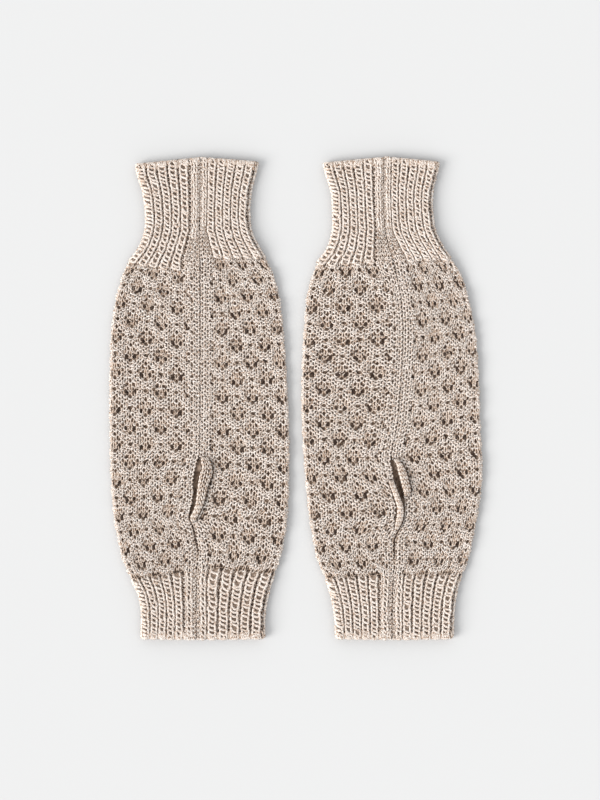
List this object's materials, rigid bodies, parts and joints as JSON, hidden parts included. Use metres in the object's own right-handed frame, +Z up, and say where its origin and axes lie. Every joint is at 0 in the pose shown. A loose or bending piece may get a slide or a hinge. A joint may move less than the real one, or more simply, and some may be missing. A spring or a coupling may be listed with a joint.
{
  "type": "pair of knitted wrist warmers",
  "caption": "Pair of long knitted wrist warmers, laid flat side by side: lace bodies with ribbed cuffs, a seam up the front and a rolled thumb slit.",
  "frame": {"origin": "middle of the pair's bounding box, on the surface that it lies on", "axes": "+X to the right across the pair, +Y along the warmers to the long arm cuffs, +Z up from the surface"},
  "size_m": [0.202, 0.2592, 0.0072],
  "materials": {
    "rib_knit": "marled beige wool yarn, two by one rib knit, matt",
    "lace_knit": "marled beige wool yarn, openwork lace knit, matt",
    "rolled_edge": "marled beige wool yarn, plain knit rolled outwards, matt"
  },
  "bodies": {
    "root": {"left_arm_cuff": "rib_knit", "left_lace_body": "lace_knit", "left_hand_cuff": "rib_knit", "left_thumb_roll": "rolled_edge", "right_arm_cuff": "rib_knit", "right_lace_body": "lace_knit", "right_hand_cuff": "rib_knit", "right_thumb_roll_lower": "rolled_edge", "right_thumb_roll_upper": "rolled_edge"}
  },
  "joints": []
}
